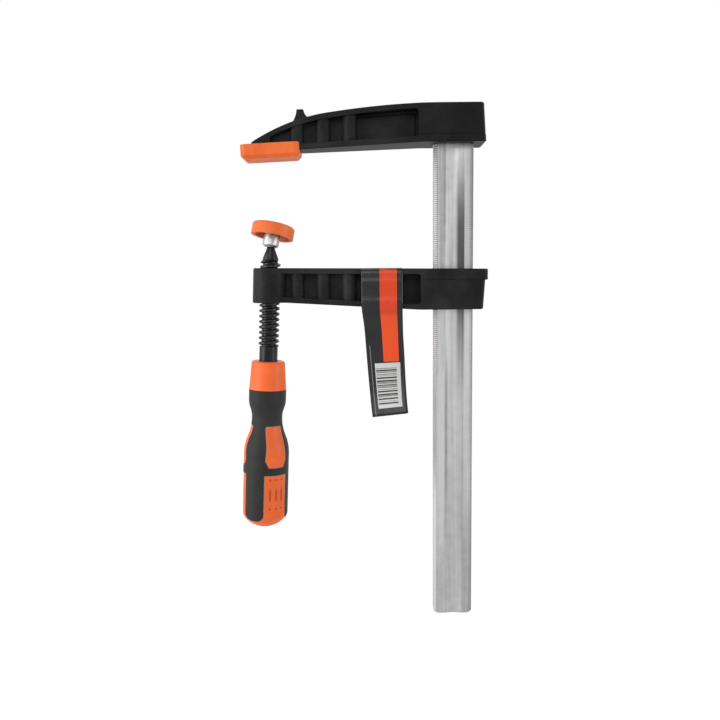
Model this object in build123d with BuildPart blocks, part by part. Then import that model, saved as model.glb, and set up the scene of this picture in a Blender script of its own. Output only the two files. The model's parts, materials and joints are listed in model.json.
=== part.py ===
"""Sliding-arm screw clamp, 120 mm throat and about 300 mm opening, as separate pieces.

Millimetres. X runs from the jaw's tip to the rail, Y away from the viewer, Z up along the rail.
The origin is on the clamping face of the fixed jaw's cap, in line with the screw's middle.
"""

import os
from math import cos, radians, sin, sqrt, tan

from build123d import *

# Rail: a drawn flat bar with a shallow groove down both broad faces
THROAT = 120.0
RAIL_WIDTH = 29.0
RAIL_THICKNESS = 11.0
RAIL_LENGTH = 378.0
RAIL_CORNER = 2.0
RAIL_GROOVE_WIDTH = 13.0
RAIL_GROOVE_DEPTH = 1.2
RAIL_FOOT_CHAMFER = 1.8
RAIL_HEAD_FLARE = 1.2
RAIL_SLOT_FIT = 0.05

# Castings: what the fixed jaw and the sliding arm have in common
FLANGE_HEIGHT = 4.0
WEB_THICKNESS = 6.0
BEAM_TIP_THICKNESS = 14.2
BEAM_BLOCK_THICKNESS = 28.0
FLANGE_PROUD = 1.0
BLOCK_WALL = 10.0
BLOCK_CORNER = 3.0
RIB_COUNT = 3
RIB_PITCH = 19.0
RIB_RADIUS = 5.2
RIB_SETBACK = 0.8
POCKET_CORNER = 2.0
BEAM_BEND = 60.0
CAST_ROUND = 1.4
STRIP_CHAMFER = 0.6
SHARP_ANGLE = 30.0

# Fixed jaw
JAW_TOE_IN = 2.5
JAW_HEIGHT = 27.3
JAW_TIP_REACH = 11.0
JAW_TIP_HEIGHT = 7.2
JAW_SHOULDER_X = 43.5
JAW_SHOULDER_DROP = 5.5
JAW_CROWN_SETBACK = 5.0
JAW_END_WALL = 7.5
JAW_END_SLOPE = 7.0
JAW_POCKET_START = 3.0
JAW_POCKET_WALL = 11.2
JAW_FIRST_RIB = 22.0
JAW_STRIP_HEIGHT = 5.4
FIELD_PROUD = 1.0
FIELD_MARGIN = 1.8
FIELD_CORNER = 2.0
FIELD_CHAMFER = 0.5
NUB_X = 24.6
NUB_TOP_WIDTH = 5.0
NUB_FOOT_WIDTH = 14.0
NUB_HEIGHT = 7.6
NUB_THICKNESS = 8.0
NUB_ROOT = 0.8
NUB_ROUND = 1.2

# Jaw cap and the foot that it is pushed on
FOOT_LENGTH = 37.4
FOOT_MARGIN = 0.8
FOOT_HEIGHT = 5.0
FOOT_STEP = 1.7
FOOT_CORNER = 3.0
FOOT_MIDDLE = 3.5
CAP_FLOOR = 3.2
CAP_WALL = 2.3
CAP_RIM = 10.2
CAP_LIP = 0.5
CAP_CORNER = 4.5
CAP_CHAMFER = 2.4
CAP_FIT = 0.2

# Sliding arm
ARM_DROP = 77.4
ARM_TOE_IN = 0.73
ARM_BLOCK_HEIGHT = 29.7
ARM_END_WALL = 8.1
ARM_END_SLOPE = 3.8
ARM_LIP = 1.2
ARM_STRIP_HEIGHT = 8.0
ARM_FIRST_RIB = 20.5
ARM_SLOT_CLEARANCE = 0.4
BOSS_RADIUS = 12.4
BOSS_HEIGHT = 25.3
BOSS_ROUND = 1.0

# Screw: stations run along its axis from the middle of the boss, up positive
SPINDLE_LEAN = 2.55
SPINDLE_DIAMETER = 15.0
SPINDLE_FIT = 0.05
THREAD_START = 19.8
THREAD_END = -44.9
CONE_FOOT_DIAMETER = 11.4
CONE_TOP_DIAMETER = 7.7
CONE_LENGTH = 6.5
NECK_DIAMETER = 13.6
NECK_LENGTH = 11.0
TANG_ACROSS_FLATS = 11.0
TANG_LENGTH = 55.0
TANG_FIT = 0.05
BALL_RADIUS = 4.7
BALL_STATION = 31.2
BALL_NECK_DIAMETER = 5.6

# Swivel shoe: heights run along its own axis from the ball's centre
SHOE_TILT_SIDE = 10.4
SHOE_TILT_BACK = 9.0
BALL_FIT = 0.08
COLLAR_WALL = 0.6
COLLAR_MOUTH = 2.9
COLLAR_ROUND = 1.1
RETAINER_WALL = 0.5
RETAINER_TOP = 16.0
RETAINER_FOOT = 37.0
RETAINER_SPLIT = 1.5
PLATE_RADIUS = 12.6
PLATE_BOTTOM = 7.5
PLATE_THICKNESS = 2.5
PAD_RADIUS = 15.5
PAD_HEIGHT = 8.8
PAD_FACE_THICKNESS = 3.0
PAD_FIT = 0.2
PAD_LIP = 0.6
PAD_ROUND = 1.8

# Handle
HANDLE_TOP_RADIUS = 12.3
HANDLE_COLLAR_RADIUS = 13.8
HANDLE_COLLAR_LENGTH = 20.8
HANDLE_TOP_CHAMFER = 0.8
GRIP_LENGTH = 97.7
GRIP_WAIST_RADIUS = 11.3
GRIP_WAIST = 0.218 * GRIP_LENGTH
GRIP_NECK = 0.079 * GRIP_LENGTH
GRIP_BELLY_RADIUS = 17.0
GRIP_BELLY = 0.5 * GRIP_LENGTH
GRIP_TURN_IN = 4.5
GRIP_WALL = 2.4
MOULD_GAP = 0.05
END_DOME_HEIGHT = 11.8
END_CORNER = 8.0
INLAY_COUNT = 3
INLAY_ANGLE = 34.5
INLAY_RECESS = 0.3
INLAY_ROUND = 1.0
UPPER_INLAY_TOP = 0.273 * GRIP_LENGTH
UPPER_INLAY_WIDEST = 0.526 * GRIP_LENGTH
UPPER_INLAY_FOOT = 0.584 * GRIP_LENGTH
UPPER_INLAY_TOP_WIDTH = 12.8
UPPER_INLAY_WIDTH = 17.5
UPPER_INLAY_FOOT_WIDTH = 12.0
LOWER_INLAY_TOP = 0.64 * GRIP_LENGTH
LOWER_INLAY_WIDTH = 18.2
PANEL_CORNER = 5.0
PANEL_FLARE = 3.0

# Hang tag: a film strip folded over the arm, its two ends joined below it
TAG_MIDDLE = 82.0
TAG_WIDTH = 29.5
TAG_FILM = 0.5
TAG_CLEARANCE = 0.4
TAG_TAIL_LENGTH = 62.5
TAG_CLOSING = 16.0
TAG_LEAN = 4.2

os.makedirs("parts", exist_ok=True)


# Places worked out from the sizes above
rail_middle = THROAT + RAIL_WIDTH / 2
block_start = THROAT - BLOCK_WALL
far = 2 * (THROAT + RAIL_WIDTH)
toe_slope = tan(radians(JAW_TOE_IN))
jaw_underside = CAP_FLOOR + FOOT_STEP
jaw_bottom = jaw_underside + block_start * toe_slope
jaw_top = jaw_bottom + JAW_HEIGHT
jaw_end = THROAT + RAIL_WIDTH + JAW_END_WALL
arm_slope = tan(radians(ARM_TOE_IN))
arm_top = -ARM_DROP
boss_bottom = arm_top - BOSS_HEIGHT
boss_middle = (arm_top + boss_bottom) / 2
arm_end = THROAT + RAIL_WIDTH + ARM_END_WALL


def beam_half_thickness(x):
    """Half the castings' thickness at x: they widen evenly from the tip to the rail's block."""
    share = min(max(x, 0) / block_start, 1)
    return (BEAM_TIP_THICKNESS + (BEAM_BLOCK_THICKNESS - BEAM_TIP_THICKNESS) * share) / 2


def beam_plan(extra, start, end):
    """Outline of a casting seen from above, wider by extra on both sides."""
    tip_half = beam_half_thickness(0) + extra
    block_half = beam_half_thickness(block_start) + extra
    with BuildSketch() as plan:
        with BuildLine():
            Polyline(
                (start, -tip_half),
                (0, -tip_half),
                (block_start, -block_half),
                (end, -block_half),
                (end, block_half),
                (block_start, block_half),
                (0, tip_half),
                (start, tip_half),
                close=True,
            )
        make_face()
        fillet([corner for corner in plan.vertices() if start < corner.X < end], BEAM_BEND)
    return plan.sketch


def sharp_edges(part):
    """Edges of a part where two faces meet at a clear angle."""
    chosen = ShapeList()
    for edge in part.edges():
        first, second = [face.normal_at(edge @ 0.5) for face in part.faces() if edge in face.edges()]
        if first.dot(second) < cos(radians(SHARP_ANGLE)):
            chosen.append(edge)
    return chosen


def round_corners(casting):
    """Round the upright corners at both ends of a cast beam or flange."""
    edges = sharp_edges(casting)
    fillet([edge for edge in edges if abs((edge % 0.5).Z) > cos(radians(SHARP_ANGLE))], BLOCK_CORNER)


def pocket_cutter(side, start, end, first_rib):
    """The hollow beside the web, on both faces, with half-round ribs left standing in it."""
    with BuildPart() as cutter:
        with BuildSketch(Plane.XZ.offset(WEB_THICKNESS / 2)) as opening:
            with Locations((0, -FLANGE_HEIGHT)):
                add(side)
            with Locations((0, FLANGE_HEIGHT)):
                add(side, mode=Mode.INTERSECT)
            with Locations(((start + end) / 2, 0)):
                Rectangle(end - start, far, mode=Mode.INTERSECT)
            corners = opening.vertices().sort_by(Axis.X)
            fillet(corners[:2] + corners[-2:], POCKET_CORNER)
        extrude(amount=BEAM_BLOCK_THICKNESS)
        for index in range(RIB_COUNT):
            x = first_rib + index * RIB_PITCH
            crest = beam_half_thickness(x) - RIB_SETBACK
            with Locations((x, RIB_RADIUS - crest)):
                Cylinder(RIB_RADIUS, far, mode=Mode.SUBTRACT)
        mirror(about=Plane.XZ)
    return cutter.part


def rail_outline(growth):
    """Cross-section of the rail without its grooves, grown by a clearance on every side."""
    with BuildSketch() as outline:
        with Locations((rail_middle, 0)):
            Rectangle(RAIL_WIDTH + 2 * growth, RAIL_THICKNESS + 2 * growth)
        chamfer(outline.vertices(), RAIL_CORNER)
    return outline.sketch


# Rail, with its upper end peened out into the jaw's countersunk slot
with BuildPart() as rail:
    with BuildSketch(Plane.XY.offset(jaw_top - RAIL_LENGTH)):
        add(rail_outline(0))
        groove_floor = RAIL_THICKNESS / 2 - RAIL_GROOVE_DEPTH
        groove_radius = (RAIL_GROOVE_WIDTH**2 / 4 + RAIL_GROOVE_DEPTH**2) / (2 * RAIL_GROOVE_DEPTH)
        for face_side in (1, -1):
            with Locations((rail_middle, face_side * (groove_floor + groove_radius))):
                Circle(groove_radius, mode=Mode.SUBTRACT)
    extrude(amount=RAIL_LENGTH)
    chamfer(rail.faces().sort_by(Axis.Z)[0].edges(), RAIL_FOOT_CHAMFER)
    with BuildSketch(Plane.XY.offset(jaw_top - RAIL_HEAD_FLARE)):
        add(rail_outline(0))
    extrude(amount=RAIL_HEAD_FLARE, taper=-45)


# Fixed jaw: side outline first, then the beam, its proud lower flange, the bare raised field in its
# last bay, the nub and the cap's foot
with BuildSketch(Plane.XZ) as jaw_side:
    tip_bottom = jaw_underside - JAW_TIP_REACH * toe_slope
    end_top = jaw_end - JAW_HEIGHT * tan(radians(JAW_END_SLOPE)) / 2
    crown = (THROAT + JAW_CROWN_SETBACK, jaw_top)
    with BuildLine():
        Polyline(
            (-JAW_TIP_REACH, tip_bottom),
            (block_start, jaw_bottom),
            (jaw_end, jaw_bottom),
            (end_top, jaw_top),
            crown,
        )
        back = TangentArc(crown, (JAW_SHOULDER_X, jaw_top - JAW_SHOULDER_DROP), tangent=(-1, 0))
        nose = TangentArc(back @ 1, (-JAW_TIP_REACH, tip_bottom + JAW_TIP_HEIGHT), tangent=back % 1)
        Line(nose @ 1, (-JAW_TIP_REACH, tip_bottom))
    make_face()

with BuildSketch(Plane.XZ) as jaw_outline:
    add(jaw_side.sketch_local)
    fillet(jaw_outline.vertices().sort_by_distance((block_start, jaw_bottom))[0], BEAM_BEND)

jaw_pocket_end = THROAT - JAW_POCKET_WALL
jaw_pocket = pocket_cutter(jaw_side.sketch_local, JAW_POCKET_START, jaw_pocket_end, JAW_FIRST_RIB)

with BuildPart() as jaw_beam:
    extrude(jaw_outline.sketch, amount=BEAM_BLOCK_THICKNESS, both=True)
    extrude(beam_plan(0, -JAW_TIP_REACH, jaw_end), amount=far, mode=Mode.INTERSECT)
    round_corners(jaw_beam)
    fillet(sharp_edges(jaw_beam), CAST_ROUND)

with BuildPart() as jaw_strip:
    with BuildSketch(Plane.XZ):
        add(jaw_outline.sketch_local)
        with Locations((0, JAW_STRIP_HEIGHT)):
            add(jaw_outline.sketch_local, mode=Mode.SUBTRACT)
    extrude(amount=BEAM_BLOCK_THICKNESS, both=True)
    extrude(beam_plan(FLANGE_PROUD, -JAW_TIP_REACH, jaw_end), amount=far, mode=Mode.INTERSECT)
    round_corners(jaw_strip)
    chamfer(sharp_edges(jaw_strip), STRIP_CHAMFER)

with BuildPart() as jaw_field:
    field_start = JAW_FIRST_RIB + (RIB_COUNT - 1) * RIB_PITCH
    field_end = jaw_pocket_end - FIELD_MARGIN
    with BuildSketch(Plane.XZ) as field_outline:
        with Locations((0, -FLANGE_HEIGHT - FIELD_MARGIN)):
            add(jaw_side.sketch_local)
        with Locations((0, FLANGE_HEIGHT / 2)):
            add(jaw_side.sketch_local, mode=Mode.INTERSECT)
        with Locations(((field_start + field_end) / 2, 0)):
            Rectangle(field_end - field_start, far, mode=Mode.INTERSECT)
        fillet(field_outline.vertices().sort_by_distance((field_end, jaw_top))[0], FIELD_CORNER)
    extrude(amount=WEB_THICKNESS / 2 + FIELD_PROUD, both=True)
    chamfer(jaw_field.faces().filter_by(Axis.Y).edges(), FIELD_CHAMFER)

toe = radians(JAW_TOE_IN)
cap_end = FOOT_MIDDLE + FOOT_LENGTH / 2 + CAP_FIT + CAP_WALL
foot_width = 2 * (beam_half_thickness(cap_end) + FLANGE_PROUD + FOOT_MARGIN)
foot_plane = Plane((0, 0, 0), x_dir=(cos(toe), 0, sin(toe)), z_dir=(-sin(toe), 0, cos(toe)))


def nose_height(x):
    """Height of the jaw's curved back at x, on its front stretch."""
    centre = nose.arc_center
    return centre.Y + sqrt(nose.radius**2 - (x - centre.X) ** 2)


def nub_foot(x):
    """Point of the nub's foot at x, a little inside the jaw's back."""
    return (x, nose_height(x) - NUB_ROOT)


with BuildPart() as nub:
    with BuildSketch(Plane.XZ):
        nub_top = nose_height(NUB_X) + NUB_HEIGHT
        with BuildLine():
            crest = Line((NUB_X - NUB_TOP_WIDTH / 2, nub_top), (NUB_X + NUB_TOP_WIDTH / 2, nub_top))
            left = TangentArc(crest @ 0, nub_foot(NUB_X - NUB_FOOT_WIDTH / 2), tangent=(0, -1))
            right = TangentArc(crest @ 1, nub_foot(NUB_X + NUB_FOOT_WIDTH / 2), tangent=(0, -1))
            Line(left @ 1, right @ 1)
        make_face()
    extrude(amount=NUB_THICKNESS / 2, both=True)
    fillet(nub.faces().sort_by(Axis.Z)[-1].edges(), NUB_ROUND)

with BuildPart() as fixed_jaw:
    add(jaw_beam.part)
    add(jaw_strip.part)
    add(jaw_pocket, mode=Mode.SUBTRACT)
    add(jaw_field.part)
    add(nub.part)
    with BuildSketch(foot_plane.offset(CAP_FLOOR)):
        with Locations((FOOT_MIDDLE, 0)):
            RectangleRounded(FOOT_LENGTH, foot_width, FOOT_CORNER)
    extrude(amount=FOOT_HEIGHT)
    extrude(rail_outline(RAIL_SLOT_FIT), amount=far, mode=Mode.SUBTRACT)
    with BuildSketch(Plane.XY.offset(jaw_top - RAIL_HEAD_FLARE)):
        add(rail_outline(RAIL_SLOT_FIT))
    extrude(amount=RAIL_HEAD_FLARE, taper=-45, mode=Mode.SUBTRACT)


# Jaw cap: a deep tray on the foot, with a lip inside its rim and an open end for the beam
with BuildPart() as jaw_cap:
    cap_length = FOOT_LENGTH + 2 * CAP_FIT + 2 * CAP_WALL
    cap_width = foot_width + 2 * CAP_FIT + 2 * CAP_WALL
    with BuildSketch(foot_plane):
        with Locations((FOOT_MIDDLE, 0)):
            RectangleRounded(cap_length, cap_width, CAP_CORNER)
    extrude(amount=CAP_RIM)
    chamfer(jaw_cap.faces().sort_by(Axis((0, 0, 0), foot_plane.z_dir))[0].edges(), CAP_CHAMFER)
    with BuildSketch(foot_plane.offset(CAP_FLOOR)):
        with Locations((FOOT_MIDDLE, 0)):
            RectangleRounded(FOOT_LENGTH + 2 * CAP_FIT, foot_width + 2 * CAP_FIT, FOOT_CORNER)
    extrude(amount=FOOT_HEIGHT + CAP_FIT, mode=Mode.SUBTRACT)
    with BuildSketch(foot_plane.offset(CAP_FLOOR + FOOT_HEIGHT)):
        with Locations((FOOT_MIDDLE, 0)):
            RectangleRounded(FOOT_LENGTH - 2 * CAP_LIP, foot_width - 2 * CAP_LIP, FOOT_CORNER)
    extrude(amount=CAP_RIM, mode=Mode.SUBTRACT)
    with BuildSketch(foot_plane.offset(CAP_FLOOR + FOOT_STEP - CAP_FIT)):
        with Locations((FOOT_MIDDLE + cap_length / 2, 0)):
            Rectangle(4 * CAP_WALL, foot_width - 2 * CAP_LIP)
    extrude(amount=CAP_RIM, mode=Mode.SUBTRACT)


# Screw: its axis leans towards the rail, and stations run along it from the boss's middle
lean = radians(SPINDLE_LEAN)
axis_direction = Vector(sin(lean), 0, cos(lean))
across_direction = Vector(cos(lean), 0, -sin(lean))
spindle_origin = Vector(0, 0, boss_middle)
spindle_axis = Axis(spindle_origin, axis_direction)
spindle_side = Plane(spindle_origin, x_dir=across_direction, z_dir=(0, -1, 0))
spindle_cross = Plane(spindle_origin, x_dir=across_direction, z_dir=axis_direction)
handle_top = THREAD_END - NECK_LENGTH
neck_depth = NECK_DIAMETER
tang_top = handle_top - neck_depth
tang_end = tang_top - TANG_LENGTH


# Sliding arm: I-beam, threaded boss with the screw's bore, and the slot for the rail
def arm_top_at(x):
    """Height of the arm's upper edge at x."""
    return arm_top - x * arm_slope


block_bottom = arm_top_at(block_start) - ARM_BLOCK_HEIGHT

lip_end = arm_end + ARM_LIP
boss_side = -2 * BOSS_RADIUS

with BuildSketch(Plane.XZ) as arm_side:
    foot_end = arm_end - ARM_BLOCK_HEIGHT * tan(radians(ARM_END_SLOPE))
    with BuildLine():
        Polyline(
            (boss_side, arm_top_at(boss_side)),
            (arm_end, arm_top_at(arm_end)),
            (foot_end, block_bottom),
            (block_start, block_bottom),
            (BOSS_RADIUS, boss_bottom),
            (boss_side, boss_bottom),
            close=True,
        )
    make_face()

with BuildSketch(Plane.XZ) as arm_outline:
    add(arm_side.sketch_local)
    for bend in ((block_start, block_bottom), (BOSS_RADIUS, boss_bottom)):
        fillet(arm_outline.vertices().sort_by_distance(bend)[0], BEAM_BEND)

arm_pocket = pocket_cutter(arm_side.sketch_local, 0, block_start, ARM_FIRST_RIB)

with BuildPart() as arm_beam:
    extrude(arm_outline.sketch, amount=BEAM_BLOCK_THICKNESS, both=True)
    extrude(beam_plan(0, -BOSS_RADIUS / 2, arm_end), amount=-far, mode=Mode.INTERSECT)
    round_corners(arm_beam)
    fillet(sharp_edges(arm_beam), CAST_ROUND)

with BuildPart() as arm_strip:
    with BuildSketch(Plane.XZ):
        with BuildLine():
            Polyline(
                (boss_side, arm_top_at(boss_side)),
                (lip_end, arm_top_at(lip_end)),
                (lip_end, arm_top_at(lip_end) - ARM_STRIP_HEIGHT),
                (boss_side, arm_top_at(boss_side) - ARM_STRIP_HEIGHT),
                close=True,
            )
        make_face()
    extrude(amount=BEAM_BLOCK_THICKNESS, both=True)
    extrude(beam_plan(FLANGE_PROUD, -BOSS_RADIUS / 2, lip_end), amount=-far, mode=Mode.INTERSECT)
    round_corners(arm_strip)
    chamfer(sharp_edges(arm_strip), STRIP_CHAMFER)

with BuildPart() as boss:
    with BuildSketch(spindle_cross):
        Circle(BOSS_RADIUS)
    extrude(amount=BOSS_HEIGHT, both=True)
    extrude(arm_side.sketch, amount=2 * BOSS_RADIUS, both=True, mode=Mode.INTERSECT)
    fillet(boss.faces().filter_by(GeomType.PLANE).edges(), BOSS_ROUND)

with BuildPart() as sliding_arm:
    add(arm_beam.part)
    add(arm_strip.part)
    add(arm_pocket, mode=Mode.SUBTRACT)
    add(boss.part)
    with BuildSketch(spindle_cross):
        Circle(SPINDLE_DIAMETER / 2 + SPINDLE_FIT)
    extrude(amount=2 * BOSS_HEIGHT, both=True, mode=Mode.SUBTRACT)
    extrude(rail_outline(ARM_SLOT_CLEARANCE), amount=-far, mode=Mode.SUBTRACT)

with BuildPart() as spindle:
    with BuildSketch(spindle_side):
        thread_step = (SPINDLE_DIAMETER - CONE_FOOT_DIAMETER) / 2
        neck_step = (SPINDLE_DIAMETER - NECK_DIAMETER) / 2
        ball_neck = BALL_NECK_DIAMETER / 2
        neck_drop = sqrt(BALL_RADIUS**2 - ball_neck**2)
        with BuildLine():
            ball = ThreePointArc(
                (0, BALL_STATION + BALL_RADIUS),
                (BALL_RADIUS, BALL_STATION),
                (ball_neck, BALL_STATION - neck_drop),
            )
            Polyline(
                ball @ 1,
                (CONE_TOP_DIAMETER / 2, THREAD_START + CONE_LENGTH),
                (CONE_FOOT_DIAMETER / 2, THREAD_START),
                (SPINDLE_DIAMETER / 2, THREAD_START - thread_step),
                (SPINDLE_DIAMETER / 2, THREAD_END + neck_step),
                (NECK_DIAMETER / 2, THREAD_END),
                (NECK_DIAMETER / 2, tang_top),
                (0, tang_top),
                ball @ 0,
            )
        make_face()
    revolve(axis=spindle_axis)
    with BuildSketch(spindle_cross.offset(tang_end)):
        RegularPolygon(TANG_ACROSS_FLATS / 2, 6, major_radius=False)
    extrude(amount=TANG_LENGTH)


# Ball retainer: a split ring in the collar's mouth, below the ball's middle
ball_centre = spindle_origin + axis_direction * BALL_STATION
ball_side = Plane(ball_centre, x_dir=across_direction, z_dir=(0, -1, 0))
retainer_inside = BALL_RADIUS + BALL_FIT
retainer_outside = retainer_inside + RETAINER_WALL
socket_radius = retainer_outside + BALL_FIT


def below(radius, latitude):
    """Point of the ball's side plane on a sphere round its centre, below its middle."""
    return (radius * cos(radians(latitude)), -radius * sin(radians(latitude)))


with BuildPart() as ball_retainer:
    with BuildSketch(ball_side):
        latitude_middle = (RETAINER_TOP + RETAINER_FOOT) / 2
        with BuildLine():
            inner = ThreePointArc(
                below(retainer_inside, RETAINER_TOP),
                below(retainer_inside, latitude_middle),
                below(retainer_inside, RETAINER_FOOT),
            )
            outer = ThreePointArc(
                below(retainer_outside, RETAINER_TOP),
                below(retainer_outside, latitude_middle),
                below(retainer_outside, RETAINER_FOOT),
            )
            Line(inner @ 0, outer @ 0)
            Line(inner @ 1, outer @ 1)
        make_face()
    revolve(axis=spindle_axis)
    with BuildSketch(Plane(ball_centre, x_dir=across_direction, z_dir=axis_direction)):
        with Locations((0, retainer_outside)):
            Rectangle(RETAINER_SPLIT, 2 * retainer_outside)
    extrude(amount=-socket_radius, mode=Mode.SUBTRACT)


# Swivel shoe: plate and collar in one, turned about its own tilted axis through the ball's centre
shoe_normal = Vector(tan(radians(SHOE_TILT_SIDE)), tan(radians(SHOE_TILT_BACK)), 1).normalized()
shoe_across = Vector(0, 1, 0).cross(shoe_normal).normalized()
shoe_side = Plane(ball_centre, x_dir=shoe_across, z_dir=shoe_across.cross(shoe_normal))
shoe_axis = Axis(ball_centre, shoe_normal)
plate_top = PLATE_BOTTOM + PLATE_THICKNESS
mouth_radius = sqrt(socket_radius**2 - COLLAR_MOUTH**2)
collar_radius = socket_radius + COLLAR_WALL
half_way = sqrt(0.5)

with BuildPart() as swivel_shoe:
    with BuildSketch(shoe_side) as shoe_profile:
        with BuildLine():
            dome = ThreePointArc(
                (0, retainer_inside),
                (retainer_inside * half_way, retainer_inside * half_way),
                (retainer_inside, 0),
            )
            Line(dome @ 1, (socket_radius, 0))
            mouth = TangentArc((socket_radius, 0), (mouth_radius, -COLLAR_MOUTH), tangent=(0, -1))
            Polyline(
                mouth @ 1,
                (collar_radius, -COLLAR_MOUTH),
                (collar_radius, PLATE_BOTTOM),
                (PLATE_RADIUS, PLATE_BOTTOM),
                (PLATE_RADIUS, plate_top),
                (0, plate_top),
                dome @ 0,
            )
        make_face()
        fillet(shoe_profile.vertices().sort_by_distance((collar_radius, -COLLAR_MOUTH))[0], COLLAR_ROUND)
    revolve(axis=shoe_axis)


# Pad cap: a cup over the shoe's plate, held by a lip under the plate's edge
with BuildPart() as pad_cap:
    pad_top = plate_top + PAD_FACE_THICKNESS
    pad_rim = pad_top - PAD_HEIGHT
    seat_radius = PLATE_RADIUS + PAD_FIT
    lip_top = PLATE_BOTTOM - PAD_FIT
    with BuildSketch(shoe_side) as pad_profile:
        with BuildLine():
            Polyline(
                (0, plate_top),
                (seat_radius, plate_top),
                (seat_radius, lip_top),
                (PLATE_RADIUS - PAD_LIP, lip_top),
                (seat_radius, pad_rim),
                (PAD_RADIUS, pad_rim),
                (PAD_RADIUS, pad_top),
                (0, pad_top),
                close=True,
            )
        make_face()
        fillet(pad_profile.vertices().sort_by_distance((PAD_RADIUS, pad_top))[0], PAD_ROUND)
    revolve(axis=shoe_axis)


# Handle: stations of the grip run down from its upper edge
grip_top = handle_top - HANDLE_COLLAR_LENGTH
grip_end = grip_top - GRIP_LENGTH
straight_end = grip_end + GRIP_TURN_IN
end_centre = GRIP_BELLY_RADIUS - END_CORNER


def swept_line(start, end):
    """Two equal arcs from start to end that leave and arrive along the handle."""
    middle = ((start[0] + end[0]) / 2, (start[1] + end[1]) / 2)
    first = TangentArc(start, middle, tangent=(0, -1))
    TangentArc(middle, end, tangent=first % 1)


def handle_body(inset):
    """The turned form between the collar and the end dome, smaller by inset all round."""
    with BuildPart() as body:
        with BuildSketch(spindle_side):
            neck = (HANDLE_COLLAR_RADIUS - inset, grip_top - GRIP_NECK)
            waist = (GRIP_WAIST_RADIUS - inset, grip_top - GRIP_WAIST)
            belly = (GRIP_BELLY_RADIUS - inset, grip_top - GRIP_BELLY)
            turn_in = (GRIP_BELLY_RADIUS - inset, straight_end)
            corner = END_CORNER - inset
            end = (end_centre + sqrt(corner**2 - GRIP_TURN_IN**2), grip_end)
            with BuildLine():
                Polyline((0, grip_top), (HANDLE_COLLAR_RADIUS - inset, grip_top), neck)
                swept_line(neck, waist)
                swept_line(waist, belly)
                Line(belly, turn_in)
                TangentArc(turn_in, end, tangent=(0, -1))
                Polyline(end, (0, grip_end), (0, grip_top))
            make_face()
        revolve(axis=spindle_axis)
    return body.part


def handle_bore(inset):
    """The plain tapers under the grip's wall, where core and grip meet."""
    with BuildPart() as bore:
        with BuildSketch(spindle_side):
            with BuildLine():
                Polyline(
                    (0, grip_top),
                    (HANDLE_COLLAR_RADIUS - inset, grip_top),
                    (GRIP_WAIST_RADIUS - inset, grip_top - GRIP_WAIST),
                    (GRIP_BELLY_RADIUS - inset, grip_top - GRIP_BELLY),
                    (GRIP_BELLY_RADIUS - inset, grip_end),
                    (0, grip_end),
                    close=True,
                )
            make_face()
        revolve(axis=spindle_axis)
    return bore.part


def inlay_planes():
    """Planes through the screw's axis that face outwards at the middle of each pair of inlays."""
    for index in range(INLAY_COUNT):
        angle = radians(INLAY_ANGLE + index * 360 / INLAY_COUNT)
        outward = across_direction * sin(angle) - Vector(0, 1, 0) * cos(angle)
        yield Plane(spindle_origin, x_dir=axis_direction.cross(outward), z_dir=outward)


def inlay_windows(growth):
    """Radial prisms of the inlays' outlines, all round the handle, grown by a gap."""
    with BuildPart() as windows:
        for face in inlay_planes():
            with BuildSketch(face.offset(GRIP_WAIST_RADIUS / 2)) as outlines:
                with BuildLine():
                    shoulder = (UPPER_INLAY_TOP_WIDTH / 2, grip_top - UPPER_INLAY_TOP)
                    hip = (UPPER_INLAY_WIDTH / 2, grip_top - UPPER_INLAY_WIDEST)
                    heel = (UPPER_INLAY_FOOT_WIDTH / 2, grip_top - UPPER_INLAY_FOOT)
                    Polyline((0, shoulder[1]), shoulder, hip, heel, (0, heel[1]))
                    mirror(about=Plane.YZ)
                make_face()
                fillet(outlines.vertices(), INLAY_ROUND)
                half = LOWER_INLAY_WIDTH / 2
                foot = straight_end - END_DOME_HEIGHT
                with BuildLine():
                    side = Line((half, grip_top - LOWER_INLAY_TOP), (half, grip_end + PANEL_CORNER))
                    flare = TangentArc(side @ 1, (half + PANEL_FLARE, grip_end), tangent=(0, -1))
                    Polyline(flare @ 1, (half + PANEL_FLARE, foot), (0, foot))
                    Line(side @ 0, (0, grip_top - LOWER_INLAY_TOP))
                    mirror(about=Plane.YZ)
                make_face()
                offset(amount=growth, mode=Mode.REPLACE)
            extrude(amount=2 * GRIP_BELLY_RADIUS)
    return windows.part


with BuildPart() as handle_grip:
    add(handle_body(0))
    add(handle_bore(GRIP_WALL), mode=Mode.SUBTRACT)
    add(inlay_windows(MOULD_GAP / 2), mode=Mode.SUBTRACT)

with BuildPart() as end_dome:
    with BuildSketch(spindle_side):
        depth = END_DOME_HEIGHT
        end_corner = END_CORNER - INLAY_RECESS
        end_radius = (end_centre**2 + depth**2 - end_corner**2) / (2 * (depth - end_corner))
        share = end_corner / (end_radius - end_corner)
        rim = (end_centre + sqrt(end_corner**2 - GRIP_TURN_IN**2), grip_end)
        turn = (end_centre * (1 + share), straight_end - (end_radius - depth) * share)
        with BuildLine():
            corner = TangentArc(rim, turn, tangent=(-GRIP_TURN_IN, end_centre - rim[0]))
            bottom = TangentArc(turn, (0, straight_end - depth), tangent=corner % 1)
            Polyline(bottom @ 1, (0, grip_end), rim)
        make_face()
    revolve(axis=spindle_axis)

with BuildPart() as inlays:
    add(handle_body(INLAY_RECESS))
    add(inlay_windows(-MOULD_GAP / 2), mode=Mode.INTERSECT)

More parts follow.
